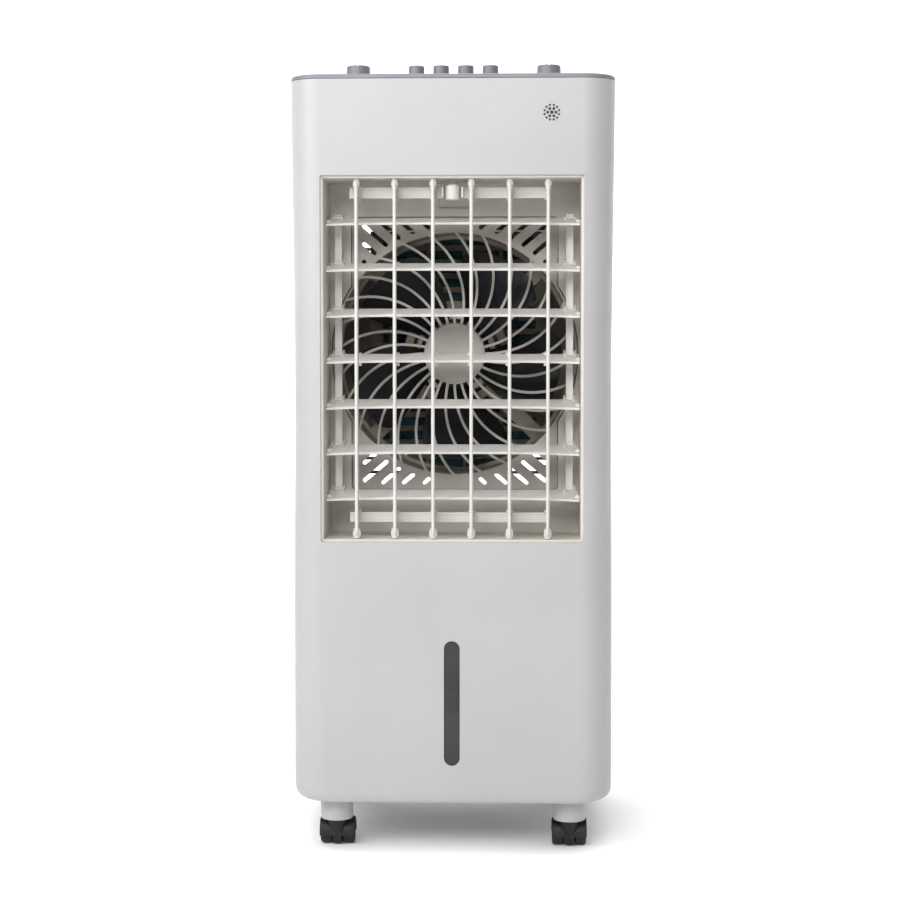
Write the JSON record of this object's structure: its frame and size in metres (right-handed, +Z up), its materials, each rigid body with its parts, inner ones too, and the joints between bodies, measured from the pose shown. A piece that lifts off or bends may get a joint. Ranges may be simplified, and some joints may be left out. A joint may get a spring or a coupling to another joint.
{
  "type": "evaporative cooler",
  "caption": "Upright evaporative room cooler on twin-wheel casters, with swing vanes and tilting slats before a swirl fan guard, a pull-out rear tank and top dials and buttons.",
  "frame": {"origin": "On the floor, under the middle of the object's bounding box", "axes": "+Z up; -Y out of the air outlet at the front; +X to the right of someone facing the outlet"},
  "size_m": [0.2926, 0.25, 0.6993],
  "materials": {
    "shell_white": "satin moulded, warm white",
    "panel_grey": "satin lavender grey",
    "grille_white": "satin off-white",
    "fan_black": "semi-gloss black",
    "caster_black": "satin black nylon",
    "window_smoke": "smoked, glossy",
    "pad_teal": "matt corrugated cellulose",
    "holder_beige": "matt beige",
    "tank_clear": "cloudy translucent",
    "motor_steel": "zinc-plated pressed steel",
    "inner_grey": "matt grey"
  },
  "bodies": {
    "housing": {"front_shell": "shell_white", "rear_shell": "shell_white", "base_pan": "shell_white", "top_panel": "panel_grey", "outlet_frame": "grille_white", "fan_grille": "grille_white", "fan_shroud": "holder_beige", "motor_bracket": "holder_beige", "fan_motor": "motor_steel", "swing_motor": "motor_steel", "timer_switch": "motor_steel", "function_switch": "inner_grey", "button_switch": "inner_grey", "level_window": "window_smoke", "mid_deck": "shell_white", "pump": "inner_grey", "supply_hose": "tank_clear", "distributor": "holder_beige", "pad_frame": "holder_beige", "cooling_pad": "pad_teal", "cord_gland": "inner_grey"},
    "fan": {"fan_shaft": "motor_steel", "fan_impeller": "fan_black", "fan_nut": "fan_black"},
    "vane_links": {"vane_link_top": "grille_white", "vane_link_bottom": "grille_white"},
    "swing_crank": {"swing_crank": "shell_white"},
    "slat_links": {"slat_link_left": "grille_white", "slat_link_right": "grille_white"},
    "timer_knob": {"timer_knob": "panel_grey"},
    "function_knob": {"function_knob": "panel_grey"},
    "water_tank": {"water_tank": "tank_clear"},
    "tank_latch": {"tank_latch": "inner_grey"},
    "rear_grille": {"rear_grille": "shell_white"},
    "slat_1": {"slat_1": "grille_white"},
    "slat_2": {"slat_2": "grille_white"},
    "slat_3": {"slat_3": "grille_white"},
    "slat_4": {"slat_4": "grille_white"},
    "slat_5": {"slat_5": "grille_white"},
    "slat_6": {"slat_6": "grille_white"},
    "slat_7": {"slat_7": "grille_white"},
    "vane_1": {"vane_1": "grille_white"},
    "vane_2": {"vane_2": "grille_white"},
    "vane_3": {"vane_3": "grille_white"},
    "vane_4": {"vane_4": "grille_white"},
    "vane_5": {"vane_5": "grille_white"},
    "vane_6": {"vane_6": "grille_white"},
    "button_1": {"button_1": "panel_grey"},
    "caster_swivel_1": {"caster_hood_1": "caster_black"},
    "caster_wheels_1": {"caster_wheels_1": "caster_black"},
    "button_2": {"button_2": "panel_grey"},
    "caster_swivel_2": {"caster_hood_2": "caster_black"},
    "caster_wheels_2": {"caster_wheels_2": "caster_black"},
    "button_3": {"button_3": "panel_grey"},
    "caster_swivel_3": {"caster_hood_3": "caster_black"},
    "caster_wheels_3": {"caster_wheels_3": "caster_black"},
    "button_4": {"button_4": "panel_grey"},
    "caster_swivel_4": {"caster_hood_4": "caster_black"},
    "caster_wheels_4": {"caster_wheels_4": "caster_black"}
  },
  "joints": [
    {"name": "fan_spin", "type": "hinge", "parent": "housing", "child": "fan", "pos_m": [0, 0, 0.4425], "axis": [0, 1, 0], "continuous": true},
    {"name": "vane_swing", "type": "hinge", "parent": "housing", "child": "vane_1", "pos_m": [-0.08425, -0.116, 0.438], "axis": [0, 0, 1], "range_deg": [-23, 23]},
    {"name": "vane_swing_2", "type": "hinge", "parent": "housing", "child": "vane_2", "pos_m": [-0.05055, -0.116, 0.438], "axis": [0, 0, 1], "range_deg": [-23, 23]},
    {"name": "vane_swing_3", "type": "hinge", "parent": "housing", "child": "vane_3", "pos_m": [-0.01685, -0.116, 0.438], "axis": [0, 0, 1], "range_deg": [-23, 23]},
    {"name": "vane_swing_4", "type": "hinge", "parent": "housing", "child": "vane_4", "pos_m": [0.01685, -0.116, 0.438], "axis": [0, 0, 1], "range_deg": [-23, 23]},
    {"name": "vane_swing_5", "type": "hinge", "parent": "housing", "child": "vane_5", "pos_m": [0.05055, -0.116, 0.438], "axis": [0, 0, 1], "range_deg": [-23, 23]},
    {"name": "vane_swing_6", "type": "hinge", "parent": "housing", "child": "vane_6", "pos_m": [0.08425, -0.116, 0.438], "axis": [0, 0, 1], "range_deg": [-23, 23]},
    {"name": "vane_links_turn", "type": "hinge", "parent": "vane_1", "child": "vane_links", "pos_m": [-0.08425, -0.0995, 0.438], "axis": [0, 0, 1], "range_deg": [-23, 23]},
    {"name": "crank_turn", "type": "hinge", "parent": "housing", "child": "swing_crank", "pos_m": [0, -0.0995, 0.59], "axis": [0, 0, 1], "range_deg": [-90, 90]},
    {"name": "slat_tilt", "type": "hinge", "parent": "housing", "child": "slat_1", "pos_m": [0, -0.092, 0.5592], "axis": [1, 0, 0], "range_deg": [-44, 26]},
    {"name": "slat_tilt_2", "type": "hinge", "parent": "housing", "child": "slat_2", "pos_m": [0, -0.092, 0.5184], "axis": [1, 0, 0], "range_deg": [-44, 26]},
    {"name": "slat_tilt_3", "type": "hinge", "parent": "housing", "child": "slat_3", "pos_m": [0, -0.092, 0.4776], "axis": [1, 0, 0], "range_deg": [-44, 26]},
    {"name": "slat_tilt_4", "type": "hinge", "parent": "housing", "child": "slat_4", "pos_m": [0, -0.092, 0.4368], "axis": [1, 0, 0], "range_deg": [-44, 26]},
    {"name": "slat_tilt_5", "type": "hinge", "parent": "housing", "child": "slat_5", "pos_m": [0, -0.092, 0.396], "axis": [1, 0, 0], "range_deg": [-44, 26]},
    {"name": "slat_tilt_6", "type": "hinge", "parent": "housing", "child": "slat_6", "pos_m": [0, -0.092, 0.3552], "axis": [1, 0, 0], "range_deg": [-44, 26]},
    {"name": "slat_tilt_7", "type": "hinge", "parent": "housing", "child": "slat_7", "pos_m": [0, -0.092, 0.3144], "axis": [1, 0, 0], "range_deg": [-44, 26]},
    {"name": "slat_links_turn", "type": "hinge", "parent": "slat_1", "child": "slat_links", "pos_m": [0, -0.0692, 0.56488], "axis": [1, 0, 0], "range_deg": [-44, 44]},
    {"name": "timer_turn", "type": "hinge", "parent": "housing", "child": "timer_knob", "pos_m": [-0.085, -0.08, 0.69], "axis": [0, 0, -1], "range_deg": [0, 300]},
    {"name": "function_turn", "type": "hinge", "parent": "housing", "child": "function_knob", "pos_m": [0.085, -0.08, 0.69], "axis": [0, 0, -1], "range_deg": [0, 270]},
    {"name": "button_press_1", "type": "slide", "parent": "housing", "child": "button_1", "axis": [0, 0, -1], "range_m": [0, 0.004], "stiffness_N_per_m": 400, "springref_m": -0.001},
    {"name": "button_press_2", "type": "slide", "parent": "housing", "child": "button_2", "axis": [0, 0, -1], "range_m": [0, 0.004], "stiffness_N_per_m": 400, "springref_m": -0.001},
    {"name": "button_press_3", "type": "slide", "parent": "housing", "child": "button_3", "axis": [0, 0, -1], "range_m": [0, 0.004], "stiffness_N_per_m": 400, "springref_m": -0.001},
    {"name": "button_press_4", "type": "slide", "parent": "housing", "child": "button_4", "axis": [0, 0, -1], "range_m": [0, 0.004], "stiffness_N_per_m": 400, "springref_m": -0.001},
    {"name": "tank_slide", "type": "slide", "parent": "housing", "child": "water_tank", "axis": [0, 1, 0], "range_m": [0, 0.15]},
    {"name": "latch_turn", "type": "hinge", "parent": "housing", "child": "tank_latch", "pos_m": [0, 0.121, 0.209], "axis": [0, -1, 0], "range_deg": [-90, 0]},
    {"name": "rear_grille_pull", "type": "slide", "parent": "housing", "child": "rear_grille", "axis": [0, 1, 0], "range_m": [0, 0.08]},
    {"name": "caster_swivel_1", "type": "hinge", "parent": "housing", "child": "caster_swivel_1", "pos_m": [-0.1045, -0.094, 0.03], "axis": [0, 0, 1], "continuous": true},
    {"name": "caster_roll_1", "type": "hinge", "parent": "caster_swivel_1", "child": "caster_wheels_1", "pos_m": [-0.1045, -0.085, 0.011], "axis": [1, 0, 0], "continuous": true},
    {"name": "caster_swivel_2", "type": "hinge", "parent": "housing", "child": "caster_swivel_2", "pos_m": [0.1045, -0.094, 0.03], "axis": [0, 0, 1], "continuous": true},
    {"name": "caster_roll_2", "type": "hinge", "parent": "caster_swivel_2", "child": "caster_wheels_2", "pos_m": [0.1045, -0.085, 0.011], "axis": [1, 0, 0], "continuous": true},
    {"name": "caster_swivel_3", "type": "hinge", "parent": "housing", "child": "caster_swivel_3", "pos_m": [-0.1045, 0.09, 0.03], "axis": [0, 0, 1], "continuous": true},
    {"name": "caster_roll_3", "type": "hinge", "parent": "caster_swivel_3", "child": "caster_wheels_3", "pos_m": [-0.1045, 0.099, 0.011], "axis": [1, 0, 0], "continuous": true},
    {"name": "caster_swivel_4", "type": "hinge", "parent": "housing", "child": "caster_swivel_4", "pos_m": [0.1045, 0.09, 0.03], "axis": [0, 0, 1], "continuous": true},
    {"name": "caster_roll_4", "type": "hinge", "parent": "caster_swivel_4", "child": "caster_wheels_4", "pos_m": [0.1045, 0.099, 0.011], "axis": [1, 0, 0], "continuous": true}
  ],
  "couplings": [
    {"joint": "vane_swing_2", "follows": "vane_swing", "ratio": 1},
    {"joint": "vane_swing_3", "follows": "vane_swing", "ratio": 1},
    {"joint": "vane_swing_4", "follows": "vane_swing", "ratio": 1},
    {"joint": "vane_swing_5", "follows": "vane_swing", "ratio": 1},
    {"joint": "vane_swing_6", "follows": "vane_swing", "ratio": 1},
    {"joint": "vane_links_turn", "follows": "vane_swing", "ratio": -1},
    {"joint": "crank_turn", "follows": "vane_swing", "ratio": -3.913},
    {"joint": "slat_tilt_2", "follows": "slat_tilt", "ratio": 1},
    {"joint": "slat_tilt_3", "follows": "slat_tilt", "ratio": 1},
    {"joint": "slat_tilt_4", "follows": "slat_tilt", "ratio": 1},
    {"joint": "slat_tilt_5", "follows": "slat_tilt", "ratio": 1},
    {"joint": "slat_tilt_6", "follows": "slat_tilt", "ratio": 1},
    {"joint": "slat_tilt_7", "follows": "slat_tilt", "ratio": 1},
    {"joint": "slat_links_turn", "follows": "slat_tilt", "ratio": -1}
  ]
}
